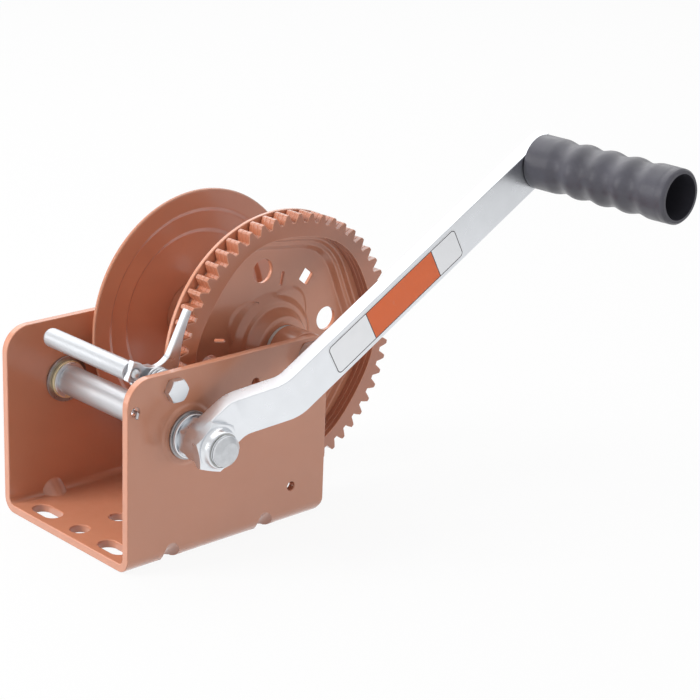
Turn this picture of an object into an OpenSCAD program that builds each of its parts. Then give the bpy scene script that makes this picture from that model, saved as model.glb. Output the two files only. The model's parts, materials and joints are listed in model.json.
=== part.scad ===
// Hand winch for a boat trailer: a bent steel frame, a rope drum with a toothed ring,
// a crank that drives it through a pinion, and a sprung ratchet pawl on the ring.
// X runs along the frame, Y along the shafts (the crank is on the -Y side), Z is up.
// The origin is the middle of the base plate's underside. Lengths are millimetres.

/* [Frame] */
// Length of the side walls
frame_len = 131; // [125:1:150]
// Overall width across the side walls
frame_w = 108; // [106:1:116]
// Height of the side walls
frame_h = 102; // [98:1:110]
// Thickness of the bent sheet
sheet_t = 4.5; // [4:0.25:5]
// Outer radius of the two long bends
bend_r = 8; // [7:0.5:10]
// Radius of the walls' front top corners
front_corner_r = 14; // [8:1:18]
// Radius of the walls' rear corners
rear_corner_r = 9; // [5:1:11]
// Distance of the front darts from the front edge
front_dart_x = 28; // [24:1:34]
// Distance from the front darts to the rear darts
dart_pitch = 62; // [50:1:66]
// Height at which a dart's groove leaves the wall
dart_h = 10.4; // [9:0.2:12]
// Radius of a dart's groove
dart_r = 5.5; // [4:0.5:6]
// Height of the collars pressed out around the drive shaft
collar_h = 1.2; // [0.6:0.2:1.4]

/* [Fixing holes] */
// Width of the slots and diameter of the round holes in the base
fixing_d = 10.3; // [8.5:0.1:11]
// End to end length of the two front slots
slot_len = 20; // [16:1:24]
// Distance between the slots' centres
slot_pitch = 58; // [52:1:62]
// Distance of the slots and the first round hole from the front edge
slot_x = 10; // [9:0.5:13]
// Distance from the first round hole to the second
hole_pitch = 25; // [20:1:32]
// Diameter of the small holes in the near wall
side_hole_d = 5; // [4:0.5:6]

/* [Drive shaft] */
// Distance of the drive shaft from the walls' rear edge
shaft_ahead = 94; // [93:0.5:94.5]
// Distance of the drive shaft below the walls' top edge
shaft_drop = 34.5; // [33.5:0.5:35]
// Diameter of the drive shaft
shaft_d = 15.9; // [15:0.1:16.5]
// Radial gap of every running fit
running_gap = 0.05; // [0.02:0.01:0.09]
// Outer diameter of the shaft bushes
bush_d = 19; // [18.6:0.1:20]
// Diameter of the shaft bushes' flanges
bush_flange_d = 25.4; // [23:0.2:26]
// Thickness of the shaft bushes' flanges
bush_flange_t = 1.4; // [1:0.1:1.6]
// Diameter of the thrust washer on the crank side
near_washer_d = 23.2; // [22:0.2:24]
// Diameter of the thrust washer on the far side
far_washer_d = 20.6; // [20:0.2:24]
// Thickness of the thrust washers
washer_t = 1.7; // [1.4:0.1:2]
// Width of the pinion
pinion_w = 14; // [12:0.5:14.5]
// Length of the shaft beyond the far wall
shaft_tail = 5; // [2:1:8]

/* [Gears] */
// Teeth on the drum's ring
gear_teeth = 54; // [54:1:54]
// Teeth on the pinion
pinion_teeth = 10; // [10:1:10]
// Module of both gears
gear_module = 2.65; // [2.63:0.01:2.67]
// Pressure angle of both gears
pressure_angle = 25; // [24:0.5:26]
// Tooth height above the pitch circle, in modules
addendum_k = 0.8; // [0.76:0.01:0.82]
// Clearance at the tooth roots, in modules
root_gap_k = 0.2; // [0.18:0.01:0.26]
// Slack left on each tooth flank
flank_slack = 0.1; // [0.06:0.01:0.16]
// Direction from the drive shaft up to the drum axle
mesh_angle = 15.5; // [14.5:0.5:16.5]
// Number of stamped plates stacked in the ring
ring_plates = 3; // [3:1:3]
// Thickness of each stamped plate
plate_t = 3.2; // [3:0.1:3.3]
// Distance from the near wall to the ring
ring_inset = 12.8; // [12.4:0.1:13.6]
// Radius of the opening in the ring
ring_bore_r = 62; // [60.5:0.5:63]

/* [Drum] */
// Gap between the ring's teeth and the drum flange behind them
flange_step = 1; // [0.8:0.1:1.6]
// Sheet thickness of both drum flanges
flange_t = 2.5; // [2:0.1:2.8]
// Depth of the dish in the gear-side flange
dish_depth = 6; // [4:0.5:7]
// Radius of the far flange
far_flange_r = 71.3; // [66:0.1:73]
// Distance from the far wall to the far flange
far_inset = 11; // [10.5:0.5:14]
// Depth of each pressed step in the far flange
far_step = 1.8; // [1:0.1:1.9]
// Outer diameter of the drum's core tube
core_d = 39; // [38:0.5:46]
// Bore of the drum's core tube
core_bore_d = 33.2; // [32:0.2:34]
// Number of lobes around the dish
dish_lobes = 6; // [4:1:8]
// Diameter of the lightening holes in the dish
web_hole_d = 13; // [8:0.5:14]
// Radius of the circle of lightening holes
web_hole_r = 41; // [40:0.5:43]

/* [Drum axle] */
// Diameter of the axle bolt
axle_d = 12.7; // [12:0.1:14]
// Outer diameter of the sleeve on the axle bolt
sleeve_d = 19; // [18:0.2:20]
// Width across the flats of the axle bolt and its nut
axle_hex = 19; // [18:0.5:22]
// Height of the axle bolt's head
axle_head_t = 8; // [6:0.5:9]

/* [Pawl] */
// Distance of the pawl's pivot in front of the drive shaft
pawl_ahead = 8.5; // [8:0.5:9]
// Distance of the pawl's pivot below the walls' top edge
pawl_drop = 9; // [8.5:0.5:9.5]
// Thickness of the pawl plate
pawl_t = 4; // [3.6:0.2:5]
// Diameter of the pawl's pivot bolt
pawl_bolt_d = 6.35; // [6:0.05:7]
// Width across the flats of the pivot bolt and its nut
pawl_hex = 11.1; // [10:0.1:11.5]
// Gap between the pawl's finger and the tooth tips
pawl_clear = 0.6; // [0.4:0.1:1]
// Width of the pawl's finger at its tip
finger_tip_w = 3.3; // [3:0.1:3.6]
// Diameter of the thumb rod
rod_d = 10; // [9:0.1:11.4]
// Distance from the far wall to the thumb rod's domed end
rod_end_gap = 13.5; // [12:0.5:22]
// Wire diameter of the pawl spring
wire_d = 1.6; // [1.2:0.1:1.8]
// Turns of the pawl spring
spring_turns = 4.25; // [3.25:1:4.25]
// Mean diameter of the pawl spring
spring_d = 14; // [13.4:0.2:15]

/* [Crank] */
// Distance from the drive shaft to the grip's axis
crank_r = 241.3; // [180:0.1:260]
// Angle of the crank above the horizontal
crank_angle = 29.3; // [0:0.1:60]
// Width of the crank's flat bar
bar_w = 22.2; // [20:0.2:25]
// Thickness of the crank's flat bar
bar_t = 9.2; // [8:0.1:10]
// Distance from the near wall to the crank's hub
hub_gap = 10; // [9:0.5:12]
// Sideways step of the joggled bar
joggle = 18.5; // [12:0.5:22]
// Angle of the bar within the joggle
joggle_angle = 40; // [30:1:50]
// Bend radius of the joggle on the bar's middle line
joggle_r = 12; // [10:1:18]
// Distance from the shaft to the start of the joggle
joggle_start = 17; // [14:1:22]
// Width across the flats of the crank's lock nut
lock_nut_hex = 23.8; // [22:0.1:25.4]
// Width across the flats of the hexagon behind the crank
spacer_hex = 19; // [18.5:0.5:22]

/* [Grip] */
// Length of the grip
grip_len = 93; // [80:1:110]
// Mean outer diameter of the grip
grip_d = 29.6; // [27:0.2:32]
// Bore of the grip's open end
grip_bore_d = 24; // [22:0.5:25]
// Depth of the grip's hollow
grip_hollow = 58; // [40:1:60]
// Height of the finger waves
wave_h = 1.4; // [0.4:0.1:2]
// Length of one finger wave
wave_pitch = 16.5; // [12:0.5:18]
// Number of finger waves
waves = 4; // [3:1:4]
// Diameter of the spindle that carries the grip
spindle_d = 10; // [8:0.5:12]

/* [Hidden] */
$fn = 96;

paint = [0.72, 0.42, 0.31];
zinc = [0.80, 0.81, 0.82];
yellow_zinc = [0.82, 0.74, 0.52];
dark_bush = [0.16, 0.16, 0.17];
nylon = [0.30, 0.30, 0.32];
grip_grey = [0.29, 0.29, 0.31];

// Planes of the frame
wall_out = frame_w / 2;
wall_in = wall_out - sheet_t;
base_len = frame_len - rear_corner_r;
origin_x = base_len / 2;
dart_swell = 2.5;   // by which a dart is rounder inside the bend than outside
fit_gap = 0.05;     // between pieces of one body that slide together
seat_gap = 0.3;     // between pieces that turn past each other
cut = 1;            // by which a cutter passes the face that it opens

// Gear geometry, axes as [x, z] from the front edge and the underside
shaft_at = [frame_len - shaft_ahead, frame_h - shaft_drop];
centre_distance = gear_module * (gear_teeth + pinion_teeth) / 2;
drum_at = shaft_at + centre_distance * [cos(mesh_angle), sin(mesh_angle)];
addendum = addendum_k * gear_module;
dedendum = (addendum_k + root_gap_k) * gear_module;
gear_pitch_r = gear_module * gear_teeth / 2;
gear_tip_r = gear_pitch_r + addendum;
gear_root_r = gear_pitch_r - dedendum;
pinion_tip_r = gear_module * pinion_teeth / 2 + addendum;
ring_tip_round = 0.7;   // radius at the corners of a tooth's tip
pinion_tip_round = 0.25;
ring_near = -wall_in + ring_inset;
ring_far = ring_near + ring_plates * plate_t;
ring_scallop = 1;   // by which the ring's opening swells and shrinks

// Drum
rim_near = ring_far + flange_step;
rim_far = rim_near + flange_t;
seat_r = gear_root_r - 0.8;             // the flange's raised seat stays under the tooth roots
far_flange_y = wall_in - far_inset;
far_web_near = far_flange_y + 2 * far_step;
far_web_far = far_web_near + flange_t;
far_ring_w = 12;                        // width of the far flange's rim, and of its first step

// Dish of the gear-side flange: a lobed wall with a ledge, and a floor with a low lobed plinth
dish_r = ring_bore_r - 2.5;             // mean radius of the dish at its mouth
dish_swell = 2;                         // height of the lobes
dish_turn = 53;                         // angle of the first lobe's crest
dish_back = flange_t * 0.6;             // by which the dish's back is wider than its inside
ledge_w = 3.8;                          // by which the ledge narrows the dish
ledge_near = ring_far + dish_depth * 0.45;
ledge_far = ledge_near + flange_t;
mouth_taper = 0.97;
floor_taper = 0.95;
web_near = ring_far + dish_depth;
web_far = web_near + flange_t;
plinth_lobes = 4;
plinth_r = 30.5;
plinth_swell = 4;
plinth_h = 1.2;
plinth_taper = 0.92;
plinth_back = 1.5;                      // by which the plinth's hollow is narrower than the plinth

// Holes of the dish
web_holes = 4;
web_hole_turn = 8;
slit_turn = 77;
slit_r = 35;
slit = [7.5, 1.6];
clamp_turn = 52;
clamp_hole = [7.4, 6.8];

// Boss drawn up around the axle
boss_foot_r = 28;
boss_step_r = 23;
boss_step_y = web_near - 4.4;
boss_step_w = 2.2;
boss_top_r = 16;
boss_top = ring_near + 3.5;
boss_round = 2.5;
neck_wall = 3.5;
bush_neck_r = boss_top_r - neck_wall;
neck_sink = 1.4;                        // by which the bush's neck stands back in the boss
bush_neck_end = boss_top - neck_sink;
drum_bush_len = 12;                     // of each drum bush inside the core
drum_bush_lip = 1.5;
drum_bush_rim = 2.4;                    // by which the far bush's lip is wider than the core's bore

// Behind the boss the flange is hollow; the core tube's end is coned to sit in the hollow
hollow_foot_r = boss_foot_r - flange_t;
hollow_top_r = boss_top_r + boss_round - flange_t;
hollow_top_y = boss_top + boss_round + flange_t;
function hollow_y(r) = web_far - (hollow_foot_r - r) * (web_far - hollow_top_y) / (hollow_foot_r - hollow_top_r);
core_start = hollow_y(core_bore_d / 2) + fit_gap;

// Drive shaft train
bush_r = bush_d / 2;
collar_r = bush_flange_d / 2 + 1.4;
near_flange_out = wall_out + collar_h + bush_flange_t;
near_washer_out = near_flange_out + washer_t;
hub_near = -wall_out - hub_gap;
hub_out = hub_near - bar_t;
pinion_near = rim_near - seat_gap - pinion_w;
flat_half = shaft_d * 0.4;              // from the axis to the flats under the crank
flat_run = 0.3;                         // by which the flats run past the crank's hub
thread_r = shaft_d / 2 - 0.1;
lock_nut_t = 9.3;
nut_hex_t = 5;                          // the lock nut's hexagon; the rest is a round collar
nut_turn = 12;                          // angle at which the lock nut happens to stand
nut_foot_r = lock_nut_hex / 2 - 1;
nut_collar_r = lock_nut_hex / 2 - 2.2;
insert_w = 1;
stud_end = hub_out - lock_nut_t - 5;
stud_chamfer = 2.6;
washer_rim_w = 0.8;                     // raised rim of the near thrust washer
washer_rim_h = 0.45;
bush_reach = 0.6;                       // by which a bush passes the inside of its wall
far_washer_in = wall_in - bush_flange_t - washer_t;
snap_ring_t = 1.2;

// Crank
arm_far = hub_near - joggle;            // the straight bar's inner face
arm_out = arm_far - bar_t;
bar_end = bar_w / 2;
grip_start = arm_out - 0.5;
grip_end = grip_start - grip_len;
grip_at = shaft_at + crank_r * [cos(crank_angle), sin(crank_angle)];
spindle_head_t = 4;
grip_hub_end = grip_end + grip_hollow;

// Pawl
pawl_at = [shaft_at[0] - pawl_ahead, frame_h - pawl_drop];
rod_at = pawl_at + [-11.2, 5.6];
pawl_lead = 0.7;                        // by which the pawl stands nearer to the wall than the ring
pawl_near = ring_near - pawl_lead;
pawl_far = pawl_near + pawl_t;
pawl_body_r = 9.5;
valley_at = pawl_at + [1, 18];
valley_r = 11.4;
arm_under = 1.7;                        // height of the front arm's underside above the pivot
tenon_r = 2.6;
tenon_head = 2.4;                       // height of the tenon's peened head
finger_corner_r = 0.9;
finger_angle = 153.3;                   // direction of the finger's tip from the drum's axis
finger_root_angle = 174.6;
spring_hole_at = [5.1, pawl_at[1] - 6.8];
side_holes = [shaft_at + [44.4, 17.3], shaft_at + [70.7, -46.6]];

// Points along an arc of radius r about c, from angle a to angle b
function arc(c, r, a, b, n) = [for (i = [0:n]) c + r * [cos(a + (b - a) * i / n), sin(a + (b - a) * i / n)]];
function unit(v) = v / norm(v);
function reversed(list) = [for (i = [len(list) - 1:-1:0]) list[i]];

// Moves a piece from the front edge's coordinates to the part's origin
module placed() translate([-origin_x, 0, 0]) children();

// Extrudes an outline drawn in X and Z from one Y to another
module slab(y0, y1) translate([0, y1, 0]) rotate([90, 0, 0]) linear_extrude(y1 - y0) children();

// Moves children to an axis given as [x, z]
module at(axis) translate([axis[0], 0, axis[1]]) children();

// Turns a profile drawn as [radius, y] about the Y direction
module turned() rotate([-90, 0, 0]) rotate_extrude() children();

module rod_y(r, y0, y1) slab(y0, y1) circle(r);

module ring_y(r_out, r_in, y0, y1) slab(y0, y1) difference() {
    circle(r_out);
    circle(r_in);
}

// A hexagon with both faces chamfered to a circle
module hexagon_y(flats, y0, y1, chamfer = 1) intersection() {
    slab(y0, y1) circle(flats / sqrt(3), $fn = 6);
    turned() polygon([
        [0, y0], [flats / 2, y0], [flats / 2 + chamfer * 1.7, y0 + chamfer],
        [flats / 2 + chamfer * 1.7, y1 - chamfer], [flats / 2, y1], [0, y1]
    ]);
}

// The corner piece that rounds a square corner at the origin, for a body in +X +Y
module corner_cut(r) difference() {
    translate([-cut, -cut]) square(r + cut);
    translate([r, r]) circle(r);
}

// Involute gears
function inv_deg(a) = tan(a) * 180 / PI - a;
function involute_deg(r, base) = let (t = sqrt(max(0, pow(r / base, 2) - 1))) t * 180 / PI - atan(t);
function half_tooth(r, teeth) =
    let (pitch_r = gear_module * teeth / 2, base = pitch_r * cos(pressure_angle))
    90 / teeth - flank_slack / pitch_r * 180 / PI + inv_deg(pressure_angle) - involute_deg(max(r, base), base);
function polar(r, a) = r * [cos(a), sin(a)];

// One side of a tooth, from its foot to the middle of its rounded tip, as [radius, half angle]
function tooth_side(teeth, foot, tip_r, tip_round) =
    let (pitch_r = gear_module * teeth / 2, shoulder = tip_r - tip_round)
    concat(
        [for (r = [foot, (foot + pitch_r) / 2, pitch_r, (pitch_r + shoulder) / 2, shoulder]) [r, half_tooth(r, teeth)]],
        [for (a = [45, 90]) [
            shoulder + tip_round * sin(a),
            half_tooth(shoulder, teeth) - tip_round * (1 - cos(a)) / tip_r * 180 / PI
        ]]
    );

// One outline of all the teeth, with the first tooth's middle at angle start
function gear_outline(teeth, root_r, tip_r, start, tip_round) =
    let (base = gear_module * teeth / 2 * cos(pressure_angle),
         foot = max(root_r + 0.3, base),
         side = tooth_side(teeth, foot, tip_r, tip_round),
         root_half = half_tooth(foot, teeth) + 0.1 * 90 / teeth)
    [for (i = [0:teeth - 1]) let (mid = start + 360 * i / teeth) each concat(
        [polar(root_r, mid - root_half)],
        [for (p = side) polar(p[0], mid - p[1])],
        [for (p = reversed(side)) polar(p[0], mid + p[1])],
        [polar(root_r, mid + root_half)]
    )];

// A circle that swells and shrinks, with a crest at angle start
function lobed(r, swell, lobes, start) =
    [for (i = [0:71]) let (a = i * 5) polar(r + swell * cos(lobes * (a - start)), a)];

module wall_outline() difference() {
    square([frame_len, frame_h]);
    translate([0, frame_h]) mirror([0, 1]) corner_cut(front_corner_r);
    translate([frame_len, frame_h]) mirror([1, 0]) mirror([0, 1]) corner_cut(rear_corner_r);
    translate([frame_len, 0]) mirror([1, 0]) corner_cut(rear_corner_r);
}

// The bent sheet's section, drawn in Y and Z
module channel_section() {
    inner_r = bend_r - sheet_t;
    difference() {
        translate([-wall_out, 0]) square([frame_w, frame_h]);
        for (s = [0, 1]) mirror([s, 0]) {
            translate([-wall_out, 0]) corner_cut(bend_r);
        }
        difference() {
            translate([-wall_in, sheet_t]) square([2 * wall_in, frame_h]);
            for (s = [0, 1]) mirror([s, 0]) translate([-wall_in, sheet_t]) difference() {
                square(inner_r);
                translate([inner_r, inner_r]) circle(inner_r);
            }
        }
    }
}

// A bar laid across the bend of one wall, its nearer side at a distance from the sharp corner
module dart_bar(x, reach, r) translate([x, -wall_out, 0])
    rotate([45, 0, 0]) translate([0, reach - r, 0]) cylinder(r = r, h = frame_w / 2, center = true);

module fixing_slot() {
    straight = (slot_len - fixing_d) / 2;
    for (s = [-1, 1]) translate([0, s * straight, -cut]) cylinder(d = fixing_d, h = sheet_t + 2 * cut);
    translate([-fixing_d / 2, -straight, -cut]) cube([fixing_d, 2 * straight, sheet_t + 2 * cut]);
}

module frame() placed() color(paint) difference() {
    union() {
        intersection() {
            // the walls, with the bends' outer curve, run on behind the base
            difference() {
                rotate([90, 0, 90]) linear_extrude(frame_len) channel_section();
                translate([base_len, -wall_in, -cut]) cube([frame_len, 2 * wall_in, frame_h + 2 * cut]);
            }
            slab(-wall_out, wall_out) wall_outline();
        }
        // darts stand up inside the bends
        for (s = [0, 1], x = [front_dart_x, front_dart_x + dart_pitch]) mirror([0, s, 0]) intersection() {
            dart_bar(x, dart_h / sqrt(2) + sheet_t, dart_r + dart_swell);
            translate([0, -wall_out + sheet_t / 2, sheet_t / 2]) cube([frame_len, 20, 20]);
        }
        // collars pressed out around the drive shaft
        for (s = [-1, 1]) at(shaft_at) turned() polygon([
            [0, s * (wall_out - cut)], [collar_r + 3, s * (wall_out - cut)], [collar_r + 3, s * wall_out],
            [collar_r, s * (wall_out + collar_h)], [0, s * (wall_out + collar_h)]
        ]);
    }
    for (s = [0, 1], x = [front_dart_x, front_dart_x + dart_pitch]) mirror([0, s, 0])
        dart_bar(x, dart_h / sqrt(2), dart_r);
    for (s = [-1, 1]) translate([slot_x, s * slot_pitch / 2, 0]) fixing_slot();
    for (i = [0, 1]) translate([slot_x + i * hole_pitch, 0, -cut]) cylinder(d = fixing_d, h = sheet_t + 2 * cut);
    at(shaft_at) rod_y(bush_r + fit_gap, -wall_out - 5, wall_out + 5);
    at(drum_at) rod_y(axle_d / 2 + fit_gap, -wall_out - cut, wall_out + cut);
    at(pawl_at) rod_y(pawl_bolt_d / 2 + fit_gap, -wall_out - cut, -wall_in + cut);
    for (p = concat([spring_hole_at], side_holes)) at(p) rod_y(side_hole_d / 2, -wall_out - cut, -wall_in + cut);
}

// A flanged bush in one wall: the flange lies outside the near wall and inside the far one
module shaft_bush_near() placed() color(dark_bush) at(shaft_at) {
    ring_y(bush_flange_d / 2, shaft_d / 2 + running_gap, -near_flange_out, -wall_out - collar_h);
    ring_y(bush_r, shaft_d / 2 + running_gap, -wall_out - collar_h, -wall_in + bush_reach);
}

module shaft_bush_far() placed() color(dark_bush) at(shaft_at) {
    ring_y(bush_flange_d / 2, shaft_d / 2 + running_gap, wall_in - bush_flange_t, wall_in);
    ring_y(bush_r, shaft_d / 2 + running_gap, wall_in, wall_out + collar_h);
}

module axle_sleeve() placed() color(zinc) at(drum_at)
    ring_y(sleeve_d / 2, axle_d / 2 + fit_gap, -wall_in, wall_in);

axle_washer_t = 2.2;
axle_nut_t = 11;
axle_end = wall_out + axle_washer_t + axle_nut_t + 4;

module axle_bolt() placed() color(zinc) at(drum_at) {
    hexagon_y(axle_hex, -wall_out - axle_head_t, -wall_out);
    turned() polygon([
        [0, -wall_out - cut], [axle_d / 2, -wall_out - cut], [axle_d / 2, axle_end - 1.2],
        [axle_d / 2 - 1.2, axle_end], [0, axle_end]
    ]);
}

module axle_washer() placed() color(zinc) at(drum_at)
    ring_y(axle_hex * 0.7, axle_d / 2 + fit_gap, wall_out, wall_out + axle_washer_t);

module axle_nut() placed() color(zinc) at(drum_at) difference() {
    hexagon_y(axle_hex, wall_out + axle_washer_t, wall_out + axle_washer_t + axle_nut_t);
    rod_y(axle_d / 2 + fit_gap, wall_out, axle_end);
}

module axle_spacer_near() placed() color(paint) at(drum_at)
    ring_y(sleeve_d / 2 + 3.5, sleeve_d / 2 + fit_gap, -wall_in, bush_neck_end - seat_gap);

module axle_spacer_far() placed() color(zinc) at(drum_at)
    ring_y(sleeve_d / 2 + 4.5, sleeve_d / 2 + fit_gap, far_web_far + drum_bush_lip + seat_gap, wall_in);

module drum_core() placed() color(paint) at(drum_at) turned() polygon([
    [core_bore_d / 2, far_web_near], [core_bore_d / 2, core_start],
    [core_d / 2, hollow_y(core_d / 2) + fit_gap], [core_d / 2, far_web_near]
]);

// A cone-sided pan with a lobed outline, from y0 where its mouth is to y1 where it is smallest
module lobed_pan(mouth_r, swell, lobes, y0, y1, taper) translate([0, y0, 0])
    rotate([y1 > y0 ? -90 : 90, 0, 0]) linear_extrude(abs(y1 - y0), scale = taper)
    mirror([0, y1 > y0 ? 1 : 0]) polygon(lobed(mouth_r, swell, lobes, dish_turn));

// What stands up from the dish's floor: the stepped boss on its plinth
module boss() {
    turned() polygon([
        [0, web_far], [boss_foot_r + 1, web_far], [boss_foot_r, web_near],
        [boss_step_r + 0.7, boss_step_y + 0.3], [boss_step_r, boss_step_y],
        [boss_step_r - boss_step_w, boss_step_y - 0.3], [boss_top_r + boss_round - 0.5, boss_top + boss_round],
        [boss_top_r + boss_round - 1.3, boss_top + 0.8], [boss_top_r, boss_top], [0, boss_top]
    ]);
    lobed_pan(plinth_r, plinth_swell, plinth_lobes, web_near + cut / 2, web_near - plinth_h, plinth_taper);
}

module drum_flange_gear_side() placed() color(paint) at(drum_at) difference() {
    union() {
        rod_y(gear_tip_r, rim_near, rim_far);
        rod_y(seat_r, ring_far, rim_near + cut / 2);
        lobed_pan(dish_r + dish_back, dish_swell, dish_lobes, rim_far - cut / 2, ledge_far, mouth_taper);
        lobed_pan(dish_r - ledge_w + dish_back, dish_swell, dish_lobes, ledge_near, web_far, floor_taper);
        boss();
    }
    difference() {
        union() {
            lobed_pan(dish_r, dish_swell, dish_lobes, ring_far - cut / 10, ledge_near, mouth_taper);
            lobed_pan(dish_r - ledge_w, dish_swell, dish_lobes, ledge_near - cut / 10, web_near, floor_taper);
        }
        boss();
    }
    // hollows behind the boss and the plinth
    turned() polygon([
        [0, web_far + cut], [hollow_foot_r, web_far + cut], [hollow_foot_r, web_far],
        [hollow_top_r, hollow_top_y], [boss_top_r - flange_t, boss_top + flange_t],
        [0, boss_top + flange_t]
    ]);
    lobed_pan(plinth_r - plinth_back, plinth_swell, plinth_lobes, web_far + cut / 10, web_far - plinth_h, plinth_taper);
    rod_y(bush_neck_r + fit_gap, boss_top - cut, web_far);
    for (i = [0:web_holes - 1]) rotate([0, -web_hole_turn - 360 * i / web_holes, 0]) translate([web_hole_r, 0, 0])
        rod_y(web_hole_d / 2, web_near - cut, web_far + cut);
    for (i = [0:web_holes - 1]) rotate([0, -slit_turn - 360 * i / web_holes, 0]) translate([slit_r, 0, 0])
        slab(web_near - 2 * cut, web_far + cut) square(slit, center = true);
    // square hole that holds the rope's clamp
    rotate([0, -clamp_turn, 0]) translate([web_hole_r, 0, 0])
        slab(web_near - cut, web_far + cut) square(clamp_hole, center = true);
}

// The far flange steps outwards twice on its way in to the hub
module drum_flange_far() placed() color(paint) at(drum_at) {
    r0 = far_flange_r;
    r1 = far_flange_r - far_ring_w;
    r2 = far_flange_r - 2 * far_ring_w;
    y0 = far_flange_y;
    hub_r = core_bore_d / 2;
    turned() polygon([
        [r0 - 0.8, y0], [r0, y0 + 0.8], [r0, y0 + flange_t - 0.8], [r0 - 0.8, y0 + flange_t],
        [r1 + 0.6, y0 + flange_t], [r1 - 1.4, y0 + far_step + flange_t],
        [r2 + 0.6, y0 + far_step + flange_t], [r2 - 1.4, y0 + 2 * far_step + flange_t],
        [hub_r, y0 + 2 * far_step + flange_t], [hub_r, y0 + 2 * far_step],
        [r2 - 0.6, y0 + 2 * far_step], [r2 + 1.4, y0 + far_step],
        [r1 - 0.6, y0 + far_step], [r1 + 1.4, y0]
    ]);
}

module drum_bush_near() placed() color(nylon) at(drum_at) {
    ring_y(bush_neck_r, sleeve_d / 2 + running_gap, bush_neck_end, core_start);
    ring_y(core_bore_d / 2 - fit_gap, sleeve_d / 2 + running_gap, core_start, web_far + drum_bush_len);
}

module drum_bush_far() placed() color(nylon) at(drum_at) {
    ring_y(core_bore_d / 2 - fit_gap, sleeve_d / 2 + running_gap, far_web_near - drum_bush_len, far_web_far);
    ring_y(core_bore_d / 2 + drum_bush_rim, sleeve_d / 2 + running_gap, far_web_far, far_web_far + drum_bush_lip);
}

// The ring is a stack of equal plates with a gap of the teeth facing the pinion
module gear_plate(i) placed() color(paint) at(drum_at)
    slab(ring_near + i * plate_t, ring_near + (i + 1) * plate_t) difference() {
        polygon(gear_outline(gear_teeth, gear_root_r, gear_tip_r, 180 + mesh_angle + 180 / gear_teeth, ring_tip_round));
        polygon(lobed(ring_bore_r, ring_scallop, dish_lobes, dish_turn));
    }

module gear_plate_outer() gear_plate(0);
module gear_plate_middle() gear_plate(1);
module gear_plate_inner() gear_plate(2);

// The crank's end has two flats, then a thread for the lock nut
module drive_shaft() placed() color(zinc) at(shaft_at) difference() {
    turned() polygon([
        [0, stud_end], [thread_r - stud_chamfer, stud_end], [thread_r, stud_end + stud_chamfer],
        [thread_r, hub_near + 2 * flat_run],
        [shaft_d / 2, hub_near + 2 * flat_run], [shaft_d / 2, wall_out + shaft_tail - 1],
        [shaft_d / 2 - 1, wall_out + shaft_tail], [0, wall_out + shaft_tail]
    ]);
    for (s = [-1, 1]) rotate([0, -crank_angle, 0])
        slab(hub_out - flat_run, hub_near + flat_run)
            translate([-shaft_d, s > 0 ? flat_half : -shaft_d]) square([2 * shaft_d, shaft_d - flat_half]);
    // groove of the snap ring
    ring_y(shaft_d, shaft_d / 2 - 0.6, far_washer_in - snap_ring_t - fit_gap, far_washer_in);
}

module pinion() placed() color(zinc) at(shaft_at)
    slab(pinion_near, pinion_near + pinion_w) difference() {
        polygon(gear_outline(pinion_teeth, gear_module * pinion_teeth / 2 - dedendum, pinion_tip_r, mesh_angle,
            pinion_tip_round));
        circle(shaft_d / 2 + fit_gap);
    }

module shaft_spacer() placed() color(zinc) at(shaft_at)
    ring_y(shaft_d / 2 + 2.2, shaft_d / 2 + fit_gap, -wall_in + bush_reach + seat_gap, pinion_near);

// The washer on the crank side is dished: its rim stands up around the hexagon
module thrust_washer_near() placed() color(zinc) at(shaft_at) {
    outer_r = near_washer_d / 2;
    face = -near_washer_out;
    bore_r = shaft_d / 2 + fit_gap;
    turned() polygon([
        [bore_r, face], [outer_r - washer_rim_w, face], [outer_r - washer_rim_w, face - washer_rim_h],
        [outer_r - 0.3, face - washer_rim_h], [outer_r, face - washer_rim_h + 0.3],
        [outer_r, -near_flange_out - seat_gap / 3], [bore_r, -near_flange_out - seat_gap / 3]
    ]);
}

module thrust_washer_far() placed() color(yellow_zinc) at(shaft_at)
    ring_y(far_washer_d / 2, shaft_d / 2 + fit_gap, far_washer_in, far_washer_in + washer_t - seat_gap / 3);

// A split ring in the shaft's groove
module shaft_ring() placed() color(zinc) at(shaft_at)
    slab(far_washer_in - snap_ring_t, far_washer_in - fit_gap) difference() {
        circle(shaft_d / 2 + 1.8);
        circle(shaft_d / 2 - 0.5);
        rotate(-100) translate([0, -2]) square([shaft_d, 4]);
    }

module hex_spacer() placed() color(zinc) at(shaft_at) difference() {
    rotate([0, -crank_angle, 0]) hexagon_y(spacer_hex, hub_near, -near_washer_out, 0.6);
    rod_y(shaft_d / 2 + fit_gap, hub_near - cut, -near_washer_out + cut);
}

// Middle line of the bar as [along, y]: hub, joggle and straight
function joggle_run() = 2 * joggle_r * sin(joggle_angle)
    + (joggle - 2 * joggle_r * (1 - cos(joggle_angle))) / tan(joggle_angle);
function bar_line() = let (
        y0 = hub_near - bar_t / 2,
        y1 = y0 - joggle,
        end = joggle_start + joggle_run()
    ) concat(
        [[[-bar_end, y0], 0]],
        [for (i = [0:6]) let (a = joggle_angle * i / 6)
            [[joggle_start + joggle_r * sin(a), y0 - joggle_r * (1 - cos(a))], a]],
        [for (i = [0:6]) let (a = joggle_angle * (1 - i / 6))
            [[end - joggle_r * sin(a), y1 + joggle_r * (1 - cos(a))], a]],
        [[[crank_r + bar_end, y1], 0]]
    );

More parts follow.
